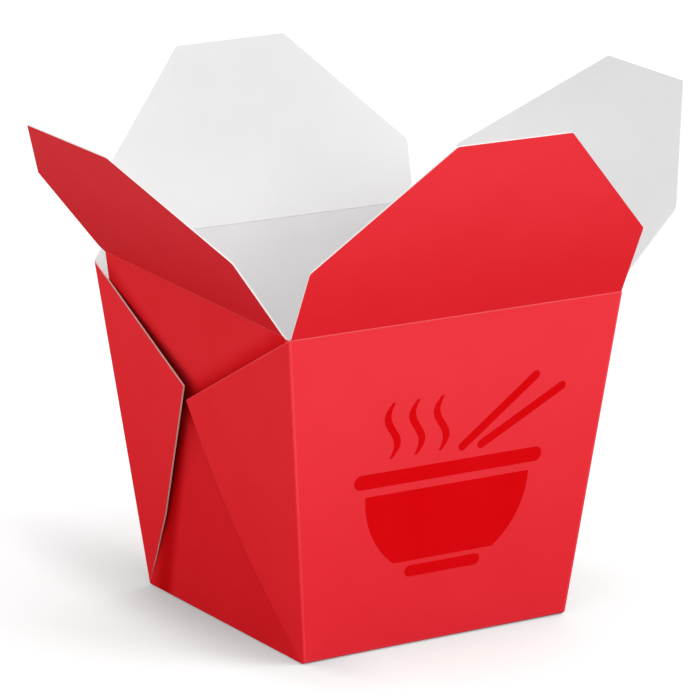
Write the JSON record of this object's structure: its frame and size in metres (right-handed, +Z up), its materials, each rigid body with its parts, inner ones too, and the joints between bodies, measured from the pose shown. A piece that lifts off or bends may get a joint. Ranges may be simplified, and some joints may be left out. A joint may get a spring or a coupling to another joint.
{
  "type": "noodle takeaway box",
  "caption": "Open, empty folded paperboard takeaway box: a tapered square tub with hexagonal lid flaps that fold shut over the mouth.",
  "frame": {"origin": "centre of the tub's underside, where the box rests", "axes": "+Z up, -Y towards the plain front panel, +X to the right seen from the front"},
  "size_m": [0.1856, 0.1521, 0.154],
  "materials": {
    "board": "satin red print on the outside, plain matt white on the inside and at the cut edges"
  },
  "bodies": {
    "tub": {"tub": "board"},
    "flap_front": {"flap_front": "board"},
    "flap_back": {"flap_back": "board"},
    "flap_left": {"flap_left": "board"},
    "flap_right": {"flap_right": "board"}
  },
  "joints": [
    {"name": "front_crease", "type": "hinge", "parent": "tub", "child": "flap_front", "pos_m": [0, -0.05477, 0.0965], "axis": [1, 0, 0], "range_deg": [-117, 63.5]},
    {"name": "back_crease", "type": "hinge", "parent": "tub", "child": "flap_back", "pos_m": [0, 0.05543, 0.1023], "axis": [-1, 0, 0], "range_deg": [-106, 74]},
    {"name": "left_crease", "type": "hinge", "parent": "tub", "child": "flap_left", "pos_m": [-0.05511, 0, 0.09945], "axis": [0.0042, -0.9993, -0.0372], "range_deg": [-127.5, 53]},
    {"name": "right_crease", "type": "hinge", "parent": "tub", "child": "flap_right", "pos_m": [0.05511, 0, 0.09945], "axis": [0.0042, 0.9993, 0.0372], "range_deg": [-129.4, 50]}
  ]
}
